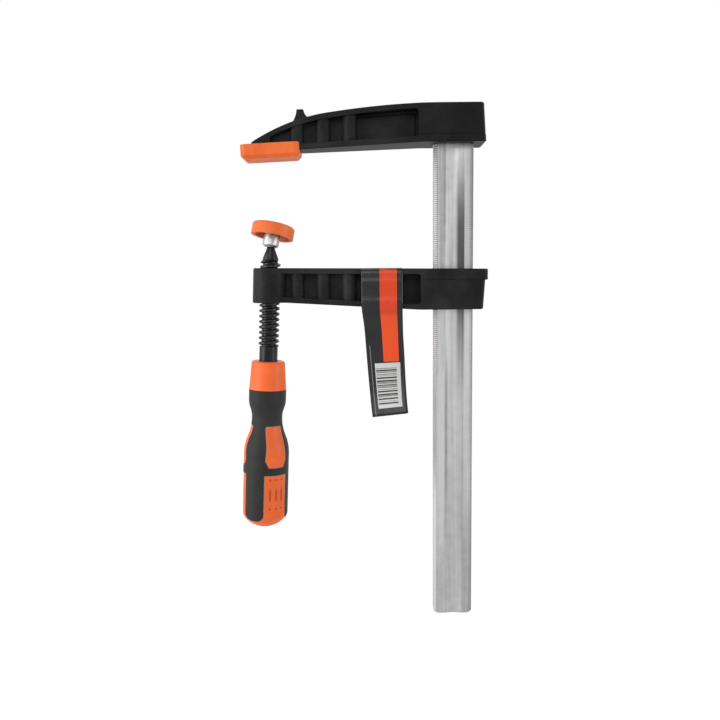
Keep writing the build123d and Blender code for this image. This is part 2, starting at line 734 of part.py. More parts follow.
with BuildPart() as handle_core:
    with BuildSketch(spindle_side) as collar_profile:
        with BuildLine():
            Polyline(
                (0, grip_top),
                (HANDLE_COLLAR_RADIUS, grip_top),
                (HANDLE_TOP_RADIUS, handle_top),
                (0, handle_top),
                close=True,
            )
        make_face()
        shoulder = collar_profile.vertices().sort_by_distance((HANDLE_TOP_RADIUS, handle_top))[0]
        chamfer(shoulder, HANDLE_TOP_CHAMFER)
    revolve(axis=spindle_axis)
    add(handle_bore(GRIP_WALL + MOULD_GAP))
    add(end_dome.part)
    add(inlays.part)
    with BuildSketch(spindle_cross.offset(tang_top)):
        Circle(NECK_DIAMETER / 2 + TANG_FIT)
    extrude(amount=neck_depth, mode=Mode.SUBTRACT)
    with BuildSketch(spindle_cross.offset(tang_end)):
        RegularPolygon(TANG_ACROSS_FLATS / 2 + TANG_FIT, 6, major_radius=False)
    extrude(amount=TANG_LENGTH, mode=Mode.SUBTRACT)


# Hang tag: loop round the arm, closing to a flat double tail that hangs a little to one side
tag_left = TAG_MIDDLE - TAG_WIDTH / 2
tag_right = TAG_MIDDLE + TAG_WIDTH / 2
loop_half = beam_half_thickness(tag_right) + FLANGE_PROUD + TAG_CLEARANCE
loop_top = arm_top_at(tag_left) + TAG_CLEARANCE
loop_foot = block_bottom - TAG_CLEARANCE
loop_end = loop_foot - TAG_CLOSING
tail_end = loop_end - TAG_TAIL_LENGTH
tail_shift = TAG_TAIL_LENGTH * tan(radians(TAG_LEAN))

with BuildPart() as hang_tag:
    with BuildSketch(Plane.YZ.offset(tag_left)):
        with BuildLine():
            Polyline(
                (loop_half + TAG_FILM, loop_top + TAG_FILM),
                (loop_half + TAG_FILM, loop_foot),
                (TAG_FILM, loop_end),
                (-TAG_FILM, loop_end),
                (-loop_half - TAG_FILM, loop_foot),
                (-loop_half - TAG_FILM, loop_top + TAG_FILM),
                close=True,
            )
        make_face()
        with BuildLine():
            Polyline(
                (loop_half, loop_top),
                (loop_half, loop_foot),
                (0, loop_end + TAG_FILM),
                (-loop_half, loop_foot),
                (-loop_half, loop_top),
                close=True,
            )
        make_face(mode=Mode.SUBTRACT)
    extrude(amount=TAG_WIDTH)
    with BuildSketch(Plane.XZ):
        with BuildLine():
            Polyline(
                (tag_left, loop_end),
                (tag_right, loop_end),
                (tag_right + tail_shift, tail_end),
                (tag_left + tail_shift, tail_end),
                close=True,
            )
        make_face()
    extrude(amount=TAG_FILM, both=True)


pieces = {
    "rail": rail,
    "fixed_jaw": fixed_jaw,
    "jaw_cap": jaw_cap,
    "sliding_arm": sliding_arm,
    "spindle": spindle,
    "ball_retainer": ball_retainer,
    "swivel_shoe": swivel_shoe,
    "pad_cap": pad_cap,
    "handle_core": handle_core,
    "handle_grip": handle_grip,
    "hang_tag": hang_tag,
}
for name, piece in pieces.items():
    piece.part.label = name
    export_step(piece.part, f"parts/{name}.step")
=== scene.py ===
"""Looks of a sliding-arm screw clamp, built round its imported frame. Metres, in the frame's own axes."""

import json
import math

import bmesh
import bpy
from mathutils import Matrix, Vector


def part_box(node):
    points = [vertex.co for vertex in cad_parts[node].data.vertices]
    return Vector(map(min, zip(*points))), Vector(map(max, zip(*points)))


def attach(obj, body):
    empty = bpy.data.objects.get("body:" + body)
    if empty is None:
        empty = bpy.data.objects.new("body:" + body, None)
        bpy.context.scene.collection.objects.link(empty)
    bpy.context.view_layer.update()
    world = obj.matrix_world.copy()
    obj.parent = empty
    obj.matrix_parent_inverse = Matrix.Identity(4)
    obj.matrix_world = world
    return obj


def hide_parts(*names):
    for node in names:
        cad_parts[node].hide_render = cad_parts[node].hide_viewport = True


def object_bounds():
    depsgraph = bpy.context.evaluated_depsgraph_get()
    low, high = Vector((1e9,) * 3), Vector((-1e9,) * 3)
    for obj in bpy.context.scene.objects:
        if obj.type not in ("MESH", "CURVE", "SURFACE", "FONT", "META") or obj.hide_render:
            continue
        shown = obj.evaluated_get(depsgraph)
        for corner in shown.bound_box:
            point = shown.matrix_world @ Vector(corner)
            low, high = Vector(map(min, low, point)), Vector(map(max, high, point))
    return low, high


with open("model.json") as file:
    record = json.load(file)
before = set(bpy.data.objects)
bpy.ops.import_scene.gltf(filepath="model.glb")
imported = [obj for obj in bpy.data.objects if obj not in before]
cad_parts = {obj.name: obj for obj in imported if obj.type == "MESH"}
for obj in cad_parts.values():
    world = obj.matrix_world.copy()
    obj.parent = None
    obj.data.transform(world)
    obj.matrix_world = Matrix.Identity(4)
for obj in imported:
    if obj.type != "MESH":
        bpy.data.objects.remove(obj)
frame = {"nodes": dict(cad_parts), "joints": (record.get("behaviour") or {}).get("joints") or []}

cad_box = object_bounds()


# Rail
# A drawn flat bar of zinc-plated steel with a shallow groove down both broad faces. Its bevelled narrow
# edges are knurled across, so that the arm bites, and its upper end is peened over in the jaw.
class Wire:
    """A shader socket: sums, products and comparisons on it add the Math nodes that they stand for."""

    def __init__(self, tree, socket=None):
        self.tree = tree
        self.socket = socket

    def node(self, kind, settings=None, inputs=None, output=0):
        """Adds any node: its settings come first, then the values or links of its sockets."""
        made = self.tree.nodes.new(kind)
        for name, value in (settings or {}).items():
            setattr(made, name, value)
        for name, value in (inputs or {}).items():
            if isinstance(value, Wire):
                self.tree.links.new(value.socket, made.inputs[name])
            else:
                made.inputs[name].default_value = value
        if isinstance(output, tuple):
            return [Wire(self.tree, made.outputs[name]) for name in output]
        return Wire(self.tree, made.outputs[output] if made.outputs else None)

    def math(self, operation, first, *others):
        return self.node("ShaderNodeMath", {"operation": operation}, dict(enumerate((first, *others))))

    def __add__(self, other):
        return self.math("ADD", self, other)

    def __radd__(self, other):
        return self.math("ADD", other, self)

    def __sub__(self, other):
        return self.math("SUBTRACT", self, other)

    def __rsub__(self, other):
        return self.math("SUBTRACT", other, self)

    def __mul__(self, other):
        return self.math("MULTIPLY", self, other)

    def __rmul__(self, other):
        return self.math("MULTIPLY", other, self)

    def __truediv__(self, other):
        return self.math("DIVIDE", self, other)

    def __mod__(self, other):
        return self.math("FLOORED_MODULO", self, other)

    def __abs__(self):
        return self.math("ABSOLUTE", self)

    def __gt__(self, other):
        return self.math("GREATER_THAN", self, other)

    def __lt__(self, other):
        return self.math("LESS_THAN", self, other)

    def mixed(self, low, high):
        """The colour between low and high that this factor stands for."""
        sockets = {0: self, 6: low, 7: high}
        return self.node("ShaderNodeMix", {"data_type": "RGBA"}, sockets, output=2)

    def between(self, low, high):
        """The number between low and high that this factor stands for."""
        return self * (high - low) + low

    def ramp(self, start, end):
        """0 up to start, 1 from end on, and a soft step between them. Start may be the higher one."""
        limits = {"Value": self, "From Min": start, "From Max": end}
        return self.node("ShaderNodeMapRange", {"interpolation_type": "SMOOTHSTEP"}, limits)

    def within(self, start, full, fading, end):
        """1 from full to fading, 0 outside start and end, and soft steps between them."""
        return self.ramp(start, full) * self.ramp(end, fading)

    def inside(self, low, high):
        """1 between low and high, and 0 outside them."""
        return (self > low) * (self < high)

    def noise(self, scale, detail=2.0):
        """Cloudy values round a half, about 1 / scale metres apart."""
        return self.node("ShaderNodeTexNoise", {}, {"Vector": self, "Scale": scale, "Detail": detail})

    def stretched(self, x, y, z):
        """This place with each of its axes stretched."""
        return self.node("ShaderNodeMapping", {}, {"Vector": self, "Scale": (x, y, z)})

    def parts(self):
        """X, Y and Z of this place."""
        return self.node("ShaderNodeSeparateXYZ", {}, {0: self}, output=("X", "Y", "Z"))

    def bump(self, depth, strength=1.0):
        """The normal of a surface that stands depth higher where this height is 1."""
        sockets = {"Strength": strength, "Distance": depth, "Height": self}
        return self.node("ShaderNodeBump", {}, sockets)


def new_finish(name):
    """A new material and a wire with its object coordinates."""
    material = bpy.data.materials.new(name)
    material.use_nodes = True
    material.node_tree.nodes.clear()
    place = Wire(material.node_tree).node("ShaderNodeTexCoord", output="Object")
    return material, place


def set_surface(place, **sockets):
    """Closes a material with a shader that has the given sockets, written with _ for a space."""
    named = {name.replace("_", " "): value for name, value in sockets.items()}
    named["Specular IOR Level"] = named.pop("Specular", 0.5)
    shader = place.node("ShaderNodeBsdfPrincipled", {}, named)
    place.node("ShaderNodeOutputMaterial", {}, {"Surface": shader})


def new_piece(name, mesh, material, body, smooth=math.radians(35)):
    """Closes a mesh as a piece: its normals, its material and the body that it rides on."""
    bmesh.ops.recalc_face_normals(mesh, faces=mesh.faces)
    data = bpy.data.meshes.new(name)
    mesh.to_mesh(data)
    mesh.free()
    data.shade_smooth()
    data.set_sharp_from_angle(angle=smooth)
    data.materials.append(material)
    piece = bpy.data.objects.new(name, data)
    bpy.context.scene.collection.objects.link(piece)
    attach(piece, body)
    return piece


rail_low, rail_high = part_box("rail")
rail_middle = (rail_low[0] + rail_high[0]) / 2
HEAD_FLARE = 0.0012
FOOT_CHAMFER = 0.0018
RAIL_BEVEL = 0.0020
GROOVE_WIDTH = 0.0130
GROOVE_DEPTH = 0.0012
GROOVE_STEPS = 12
TOOTH_PITCH = 0.0015
TOOTH_DEPTH = 0.0004
half_width = (rail_high[0] - rail_low[0]) / 2 - HEAD_FLARE
half_thickness = (rail_high[1] - rail_low[1]) / 2 - HEAD_FLARE
flat_half = half_width - RAIL_BEVEL
edge_half = half_thickness - RAIL_BEVEL
rail_foot = rail_low[2]
head_foot = rail_high[2] - HEAD_FLARE

groove_radius = (GROOVE_WIDTH**2 / 4 + GROOVE_DEPTH**2) / (2 * GROOVE_DEPTH)
groove_reach = math.asin(GROOVE_WIDTH / 2 / groove_radius)
half_section = [(-flat_half, -half_thickness)]
for step in range(GROOVE_STEPS + 1):
    angle = (2 * step / GROOVE_STEPS - 1) * groove_reach
    sag = groove_radius * math.cos(angle) - groove_radius + GROOVE_DEPTH
    half_section.append((groove_radius * math.sin(angle), sag - half_thickness))
half_section += [(flat_half, -half_thickness), (half_width, -edge_half), (half_width, edge_half)]
section = half_section + [(-x, -y) for x, y in half_section]

bar = bmesh.new()
ring = [bar.verts.new((x, y, rail_foot)) for x, y in section]
ring_edges = [bar.edges.new(pair) for pair in zip(ring, ring[1:] + ring[:1])]
tooth_steps = 2 * round((head_foot - rail_foot) / TOOTH_PITCH)
tooth_step = (head_foot - rail_foot) / tooth_steps
bmesh.ops.spin(
    bar, geom=ring + ring_edges, axis=(0, 0, 1), angle=0, steps=tooth_steps, dvec=(0, 0, tooth_step)
)
for point in bar.verts:
    height = point.co.z - rail_foot
    on_edge = abs(point.co.x) > (flat_half + half_width) / 2
    if on_edge and round(height / tooth_step) % 2:
        point.co.x -= math.copysign(TOOTH_DEPTH, point.co.x)
    inset = max(FOOT_CHAMFER - height, 0)
    point.co.x *= 1 - inset / half_width
    point.co.y *= 1 - inset / half_thickness
bmesh.ops.holes_fill(bar, edges=bar.edges[:])

head_side = [
    (flat_half, -half_thickness),
    (half_width, -edge_half),
    (half_width, edge_half),
    (flat_half, half_thickness),
]
head_outline = head_side + [(-x, -y) for x, y in head_side]
head_face = bar.faces.new([bar.verts.new((x, y, head_foot)) for x, y in head_outline])
for point in bmesh.ops.extrude_face_region(bar, geom=[head_face])["geom"]:
    if isinstance(point, bmesh.types.BMVert):
        flare_x = math.copysign(HEAD_FLARE, point.co.x)
        flare_y = math.copysign(HEAD_FLARE, point.co.y)
        point.co += Vector((flare_x, flare_y, HEAD_FLARE))
bmesh.ops.translate(bar, verts=bar.verts, vec=(rail_middle, 0, 0))

ZINC_LIGHT = (0.54, 0.54, 0.545, 1)
ZINC_DARK = (0.27, 0.27, 0.275, 1)
ZINC_LEFT_BEVEL_LIT = (0.39, 0.39, 0.39, 1)
ZINC_LEFT_BEVEL_BRIGHTER = (0.59, 0.59, 0.59, 1)
# The dark tone of the rail's painted shade and painted dark reflection.
ZINC_PAINTED_DARK = (0.05, 0.05, 0.052, 1)
PEEN_EDGE = 0.0006
# Painted light and shade along the rail, by the heights at which each starts, is full, fades and ends.
LIT_BAND = (-0.300, -0.170, -0.110, -0.060)
LIT_LEFT_BAND = (-0.310, -0.275, -0.180, -0.140)
LIT_RIGHT_BAND = (-0.300, -0.230, -0.125, -0.095)
SHADE_LINE_HEIGHTS = (-0.300, -0.210, -0.170, -0.120)
DARK_REFLECTION_HEIGHTS = (-0.310, -0.270, -0.055, 0.030)
DARK_REFLECTION_GROWS = (-0.190, -0.080)
SHADE_LINE_DRIFTS = (-0.160, -0.030)
# The same painted light and shade across it, from its middle line to the right.
LIT_BAND_MIDDLE = 0.0005
LIT_BAND_FADES = (0.0060, 0.0015)
LIT_LEFT_SIDE = (-0.0062, -0.0074)
LIT_RIGHT_SIDE = (0.0066, 0.0080)
SHADED_RIGHT_STRIP = (0.0055, 0.0080)
DARK_REFLECTION_BAND = (0.0004, 0.0040, 0.0070, 0.0084)
SHADE_LINE_AT = -0.0053
SHADE_LINE_FADES = (0.0016, 0.0004)
SHADE_LINE_DRIFT = 0.0037
# Heights above the foot between which the streaks grow stronger, and the painted light on the left bevel
# grows brighter downwards.
STREAKED = (0.05, 0.30)
LEFT_BEVEL_BRIGHTER = (0.136, 0.079)

zinc_rail, place = new_finish("zinc_rail")
x, _, z = place.parts()
across = x - rail_middle
above_foot = z - rail_foot
drawn = place.stretched(1, 1, 0.012).noise(2600, 4)
bands = place.stretched(1, 0.3, 0.03).noise(230, 3)
spots = place.noise(160, 4)
upper = above_foot.ramp(*STREAKED)
streaks = (bands - 0.5) * upper.between(0.35, 1.0) + 0.5
shade = (streaks * 0.62 + drawn * 0.23 + spots * 0.15).ramp(0.28, 0.68)
# Painted shade: the right strip of each broad face is darker.
shade = shade * (1 - across.ramp(*SHADED_RIGHT_STRIP) * 0.40)
# Painted light: lighter bands below the arm, down the groove's middle and on each strip.
lit_band = z.within(*LIT_BAND) * abs(across - LIT_BAND_MIDDLE).ramp(*LIT_BAND_FADES).between(0.04, 0.42)
lit_left_band = z.within(*LIT_LEFT_BAND) * across.ramp(*LIT_LEFT_SIDE)
lit_right_band = z.within(*LIT_RIGHT_BAND) * across.ramp(*LIT_RIGHT_SIDE)
shade = shade + lit_band + lit_left_band * 0.36 + lit_right_band * 0.45
knurled = abs(across).ramp(flat_half - 0.0001, flat_half + 0.0004)
cut = abs(across).ramp(flat_half - 0.0011, flat_half - 0.0006)
valley = 1 - abs((above_foot / (2 * tooth_step)) % 1 - 0.5) * 2
# Painted shade in the valleys between the knurl's teeth, stronger higher up.
notch_shade = cut * valley.ramp(0.35, 0.65) * upper.between(0.45, 1.0)
# Painted light on the left knurled bevel, lighter lower down, and painted shade on the right bevel and its
# edge.
right_side_shade = across.ramp(-0.001, 0.001)
right_bevel_shade = across.within(flat_half, half_width - 0.0008, half_width - 0.0006, half_width - 0.0002)
# Painted shade: a dark line beside the groove's left edge, which drifts left higher up.
shade_line_middle = SHADE_LINE_AT - z.ramp(*SHADE_LINE_DRIFTS) * SHADE_LINE_DRIFT
shade_line = abs(across - shade_line_middle).ramp(*SHADE_LINE_FADES) * z.within(*SHADE_LINE_HEIGHTS).between(0.08, 0.45)
# Painted reflection: a dark band down the groove's right side, deeper higher up, as if it mirrored
# something dark.
reflection_depth = z.ramp(*DARK_REFLECTION_GROWS).between(0.14, 1.0) * bands.between(0.70, 1.15)
dark_reflection = across.within(*DARK_REFLECTION_BAND) * z.within(*DARK_REFLECTION_HEIGHTS) * reflection_depth
left_bevel_brighter = above_foot.ramp(*LEFT_BEVEL_BRIGHTER)
peened = z.ramp(head_foot, head_foot + PEEN_EDGE)
zinc = shade.mixed(ZINC_DARK, ZINC_LIGHT)
zinc = (knurled * (1 - right_side_shade)).mixed(zinc, left_bevel_brighter.mixed(ZINC_LEFT_BEVEL_LIT, ZINC_LEFT_BEVEL_BRIGHTER))
zinc = (notch_shade * 0.60 + knurled * right_side_shade * 0.18 + shade_line).mixed(zinc, ZINC_PAINTED_DARK)
zinc = (right_bevel_shade * upper.between(0.32, 0.40)).mixed(zinc, ZINC_PAINTED_DARK)
set_surface(
    place,
    Base_Color=dark_reflection.mixed(zinc, ZINC_PAINTED_DARK),
    Metallic=1.0,
    Roughness=(spots * 0.5 + drawn * 0.5).between(0.28, 0.48),
    Normal=(drawn * 0.06 + peened * place.noise(420, 1)).bump(0.0005, 0.8),
)
rail = new_piece("rail_bar", bar, zinc_rail, "frame", smooth=math.radians(24))
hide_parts("rail")


# Fixed jaw
# A malleable iron casting with ribbed pockets, painted satin black over the sand texture of its mould.
# It is pressed on the rail's upper end, which is peened over on top.
JAW_DARK = (0.0045, 0.0045, 0.0047, 1)
JAW_LIGHT = (0.0200, 0.0200, 0.0205, 1)


def dress(node, material):
    """Gives a solid of the frame its material."""
    solid = frame["nodes"][node]
    solid.data.materials.clear()
    solid.data.materials.append(material)


def cast_paint(name, dark, light):
    """Satin paint on a sand casting, between its darkest and its lightest tone."""
    paint, place = new_finish(name)
    sand = place.noise(1500, 3)
    pits = place.noise(520, 2)
    cloud = place.noise(38, 3)
    set_surface(
        place,
        Base_Color=(cloud * 0.6 + sand * 0.4).ramp(0.36, 0.66).mixed(dark, light),
        Roughness=(cloud * 0.5 + sand * 0.5).between(0.34, 0.62),
        Specular=0.09,
        Normal=(sand * 0.45 + pits * 0.55).bump(0.00035, 0.7),
    )
    return paint


dress("fixed_jaw", cast_paint("jaw_paint", JAW_DARK, JAW_LIGHT))


# Jaw cap
# A tray of soft orange plastic, moulded in one with a fine grain. It is pushed over the jaw's foot, so
# that the work isn't marked.
ORANGE_DEEP = (0.64, 0.105, 0.017, 1)
ORANGE_BRIGHT = (0.83, 0.160, 0.031, 1)


def cap_plastic(name, deep, bright):
    """Soft moulded plastic with a fine grain, between the two tones of its flow."""
    plastic, place = new_finish(name)
    grain = place.noise(2400, 2)
    flow = place.noise(60, 3)
    set_surface(
        place,
        Base_Color=(flow * 0.7 + grain * 0.3).ramp(0.30, 0.70).mixed(deep, bright),
        Roughness=(flow * 0.5 + grain * 0.5).between(0.40, 0.58),
        Specular=0.25,
        Normal=grain.bump(0.00006, 0.5),
    )
    return plastic


dress("jaw_cap", cap_plastic("orange_cap", ORANGE_DEEP, ORANGE_BRIGHT))


# Sliding arm
# The second casting, with a slot for the rail and a threaded boss at its tip. It is painted like the jaw,
# in lighter tones that are painted light for the stronger light on the arm.
ARM_LIT_DARK = (0.0075, 0.0075, 0.0077, 1)
ARM_LIT_LIGHT = (0.0270, 0.0270, 0.0275, 1)

# The jaw's paint in lighter tones, which are painted light.
dress("sliding_arm", cast_paint("arm_paint_lit", ARM_LIT_DARK, ARM_LIT_LIGHT))


# Spindle
# A blackened steel screw with a rolled trapezoidal thread, a smooth neck that goes into the handle, and a
# cone with a ball end on top. Stations run along its axis from the middle of the ball, up positive.
turning = next(joint for joint in frame["joints"] if joint["name"] == "spindle_turn")
screw_axis = Vector(turning["axis"]).normalized()
screw_lean = Vector((0, 0, 1)).rotation_difference(screw_axis).to_matrix().to_4x4()
screw_place = Matrix.Translation(turning["pos_m"]) @ screw_lean
THREAD_PITCH = 0.0040
THREAD_CREST = 0.00748
THREAD_ROOT = 0.00545
THREAD_START = -1.62
THREAD_TOP = -0.0122
THREAD_FOOT = -0.0761
THREAD_STEPS = 40
THREAD_FORM = (
    (THREAD_ROOT, 0.00),
    (THREAD_ROOT, 0.26),
    (THREAD_CREST, 0.44),
    (THREAD_CREST, 0.82),
    (THREAD_ROOT, 1.00),
)
CONE_FORM = (
    (0, -0.0030),
    (0.0028, -0.0036),
    (0.0032, -0.0049),
    (0.0058, -0.0117),
    (0.0058, -0.0124),
    (0, -0.0124),
)
BALL_RADIUS = 0.0047
NECK_RADIUS = 0.0068
NECK_TOP = -0.0758
NECK_FOOT = -0.1007
TANG_FOOT = -0.1557
TANG_RADIUS = 0.00635
CLOSE = 1e-6


def add_turned(mesh, outline, rise=0.0, turns=1, steps=64):
    """Turns an outline of (radius, station) points about Z, and raises it by rise for each turn."""
    points = [mesh.verts.new((radius, 0, station)) for radius, station in outline]
    edges = [mesh.edges.new(pair) for pair in zip(points, points[1:])]
    bmesh.ops.spin(
        mesh,
        geom=points + edges,
        axis=(0, 0, 1),
        dvec=(0, 0, rise / steps),
        angle=math.tau * turns,
        steps=round(steps * turns),
        use_merge=rise == 0,
    )
    bmesh.ops.remove_doubles(mesh, verts=mesh.verts, dist=CLOSE)


screw = bmesh.new()
first_turn = THREAD_FOOT + THREAD_START * THREAD_PITCH
add_turned(
    screw,
    [(radius, first_turn + share * THREAD_PITCH) for radius, share in THREAD_FORM],
    rise=THREAD_PITCH,
    turns=math.ceil((THREAD_TOP - THREAD_FOOT) / THREAD_PITCH) + 2,
    steps=THREAD_STEPS,
)
for point in screw.verts:
    spread = math.hypot(point.co.x, point.co.y)
    limit = THREAD_ROOT + max(THREAD_TOP - point.co.z, 0)
    point.co.xy *= min(limit / spread, 1)
for station, way in ((THREAD_TOP, 1), (THREAD_FOOT, -1)):
    everything = screw.verts[:] + screw.edges[:] + screw.faces[:]
    bmesh.ops.bisect_plane(
        screw, geom=everything, plane_co=(0, 0, station), plane_no=(0, 0, way), clear_outer=True
    )
    rim = [edge for edge in screw.edges if all(abs(end.co.z - station) < CLOSE for end in edge.verts)]
    bmesh.ops.edgenet_fill(screw, edges=rim)
add_turned(screw, CONE_FORM)
add_turned(screw, [(0, NECK_TOP), (NECK_RADIUS, THREAD_FOOT), (NECK_RADIUS, NECK_FOOT), (0, NECK_FOOT)])
bmesh.ops.create_uvsphere(screw, u_segments=48, v_segments=24, radius=BALL_RADIUS)
bmesh.ops.create_cone(
    screw,
    cap_ends=True,
    segments=6,
    radius1=TANG_RADIUS,
    radius2=TANG_RADIUS,
    depth=NECK_FOOT - TANG_FOOT,
    matrix=Matrix.Translation((0, 0, (NECK_FOOT + TANG_FOOT) / 2)),
)
bmesh.ops.transform(screw, matrix=screw_place, verts=screw.verts)


def screw_parts(place):
    """X, Y and Z of a place along the screw: its axis is Z, from the middle of the ball."""
    turn = screw_place.inverted()
    sockets = {"Vector": place, "Location": turn.to_translation(), "Rotation": turn.to_euler()}
    return place.node("ShaderNodeMapping", {}, sockets).parts()


STEEL_BLACK = (0.0030, 0.0030, 0.0032, 1)
STEEL_WORN = (0.025, 0.0245, 0.024, 1)
STEEL_CREST_WEAR_AND_SHEEN = (0.024, 0.0235, 0.023, 1)
CREST_FROM = 0.0068
ROLLED_FADE = 0.001

black_steel, place = new_finish("black_steel")
x, y, z = screw_parts(place)
rolled = z.ramp(THREAD_FOOT, THREAD_FOOT + ROLLED_FADE)
# Lighter thread crests: partly wear, partly a painted highlight.
crest = (x * x + y * y).ramp(CREST_FROM**2, THREAD_CREST**2) * rolled
scale = (place.noise(900, 4) - 0.5) * rolled.between(0.15, 1.0) + 0.5
oil = place.noise(110, 2)
blackened = (scale * 0.6 + oil * 0.4).ramp(0.42, 0.74).mixed(STEEL_BLACK, STEEL_WORN)
set_surface(
    place,
    Base_Color=(crest * scale.ramp(0.35, 0.65)).mixed(blackened, STEEL_CREST_WEAR_AND_SHEEN),
    Metallic=0.35,
    Specular=0.3,
    Roughness=(oil * 0.6 + scale * 0.4).between(0.16, 0.40),
    Normal=scale.bump(0.00008, 0.5),
)
spindle = new_piece("spindle_screw", screw, black_steel, "screw")
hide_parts("spindle")


# Ball retainer
# A split ring of plain spring steel. It is snapped into the mouth of the shoe's collar, where it keeps the
# spindle's ball in.
SPRING_DARK = (0.20, 0.20, 0.21, 1)
SPRING_LIGHT = (0.36, 0.36, 0.37, 1)

spring_steel, place = new_finish("spring_steel")
wound = place.stretched(1, 1, 4).noise(900, 3)
set_surface(
    place,
    Base_Color=wound.mixed(SPRING_DARK, SPRING_LIGHT),
    Metallic=1.0,
    Roughness=wound.between(0.25, 0.45),
)
dress("ball_retainer", spring_steel)


# Swivel shoe
# A round steel plate with a turned collar, plated with zinc. The collar takes the spindle's ball, on which
# the shoe swivels.
SHOE_DARK = (0.30, 0.295, 0.295, 1)
SHOE_LIGHT = (0.56, 0.54, 0.525, 1)

zinc_shoe, place = new_finish("zinc_shoe")
turned_marks = place.stretched(1, 1, 6).noise(500, 3)
bloom = place.noise(130, 2)
set_surface(
    place,
    Base_Color=(turned_marks * 0.5 + bloom * 0.5).ramp(0.32, 0.68).mixed(SHOE_DARK, SHOE_LIGHT),
    Metallic=1.0,
    Roughness=bloom.between(0.30, 0.50),
    Normal=turned_marks.bump(0.00005, 0.5),
)
dress("swivel_shoe", zinc_shoe)


# Pad cap
# A cup of the same soft orange plastic, snapped over the edge of the shoe's plate. It is a moulding of its
# own, a little paler than the jaw's.
PAD_DEEP = (0.70, 0.130, 0.026, 1)
PAD_BRIGHT = (0.86, 0.185, 0.042, 1)

dress("pad_cap", cap_plastic("orange_pad", PAD_DEEP, PAD_BRIGHT))


# Handle core
# Hard orange plastic moulded on the screw's tang: the collar, the rounded end and three pairs of inlays.
# The inlays have a pale rim, a painted highlight of their edges, and the lower ones carry three columns of
# small sunk marks.
GRIP_TOP = -0.1079
GRIP_LENGTH = 0.0977
INLAY_ANGLE = math.radians(34.5)
INLAY_SPACING = math.radians(120)
INLAY_RADIUS = 0.0165
MARK_PITCH = 0.00465
MARK_HALF_WIDTH = 0.0009
SLOT_HALF_LENGTH = 0.0050
MARKS = ((0.674, MARK_HALF_WIDTH), (0.794, SLOT_HALF_LENGTH), (0.898, MARK_HALF_WIDTH))
UPPER_CORNERS = ((0.273, 0.00640), (0.526, 0.00875), (0.584, 0.00600))
LOWER_CORNERS = ((0.640, 0.00910), (1.100, 0.00910))
RIM_WIDTH = 0.0013
LOWER_RIM_ENDS = (0.094, 0.090)
HANDLE_DEEP = (0.74, 0.112, 0.019, 1)
HANDLE_BRIGHT = (0.89, 0.152, 0.030, 1)
HANDLE_RIM_HIGHLIGHT = (0.46, 0.20, 0.125, 1)
# Painted shade in the sunk marks.
SUNK_MARK_SHADE = (0.50, 0.062, 0.009, 1)


def inlay_rim_highlight(side, depth, corners):
    """1 along the edge of an inlay, where a highlight is painted. Its corners have a share of the grip's
    length and a half width.
    """
    corners = [(share * GRIP_LENGTH, half) for share, half in corners]
    nearest = side.math("MINIMUM", depth - corners[0][0], corners[-1][0] - depth)
    for (start, half), (end, end_half) in zip(corners, corners[1:]):
        slope = (end_half - half) / (end - start)
        inwards = ((depth - start) * slope + half - abs(side)) * math.cos(math.atan(slope))
        nearest = side.math("MINIMUM", nearest, inwards)
    return nearest.ramp(RIM_WIDTH, RIM_WIDTH * 0.3) * (nearest > -RIM_WIDTH / 2)


orange_handle, place = new_finish("orange_handle")
x, y, z = screw_parts(place)
turned_by = place.math("ARCTAN2", x, 0 - y) - INLAY_ANGLE
off_angle = (turned_by + INLAY_SPACING / 2) % INLAY_SPACING - INLAY_SPACING / 2
side = place.math("SQRT", x * x + y * y) * place.math("SINE", off_angle)
depth = GRIP_TOP - z
lower_rim_highlight = inlay_rim_highlight(side, depth, LOWER_CORNERS) * depth.ramp(*LOWER_RIM_ENDS)
# Painted highlight: a pale rim along the inlays' edges.
rim_highlights = inlay_rim_highlight(side, depth, UPPER_CORNERS) + lower_rim_highlight
off_column = off_angle * INLAY_RADIUS
column = ((off_column / MARK_PITCH + 0.5) % 1 - 0.5) * MARK_PITCH / MARK_HALF_WIDTH
in_columns = abs(off_column) < 1.5 * MARK_PITCH
sunk = 0
for share, half_length in MARKS:
    along = (z - (GRIP_TOP - share * GRIP_LENGTH)) / half_length
    sunk = sunk + (column * column + along * along).ramp(1.25, 0.75) * in_columns
grain = place.noise(2200, 2)
flow = place.noise(48, 3)
moulded = (flow * 0.7 + grain * 0.3).ramp(0.30, 0.70).mixed(HANDLE_DEEP, HANDLE_BRIGHT)
set_surface(
    place,
    Base_Color=sunk.mixed(rim_highlights.mixed(moulded, HANDLE_RIM_HIGHLIGHT), SUNK_MARK_SHADE),
    Roughness=(flow * 0.6 + grain * 0.4).between(0.38, 0.54),
    Specular=0.3,
    Normal=(grain * 0.06 - sunk).bump(0.0005, 0.7),
)
dress("handle_core", orange_handle)


# Handle grip
# Soft dark plastic with a fine matt skin. It is moulded over the core, and leaves the collar, the inlays
# and the rounded end free.
GRIP_DARK = (0.016, 0.0153, 0.015, 1)
GRIP_LIGHT = (0.028, 0.0268, 0.026, 1)

dark_grip, place = new_finish("dark_grip")
skin = place.noise(2600, 2)
dust = place.noise(70, 4)
set_surface(
    place,
    Base_Color=(dust * 0.6 + skin * 0.4).ramp(0.34, 0.70).mixed(GRIP_DARK, GRIP_LIGHT),
    Roughness=(dust * 0.5 + skin * 0.5).between(0.46, 0.66),
    Specular=0.2,
    Normal=skin.bump(0.00007, 0.6),
)
dress("handle_grip", dark_grip)


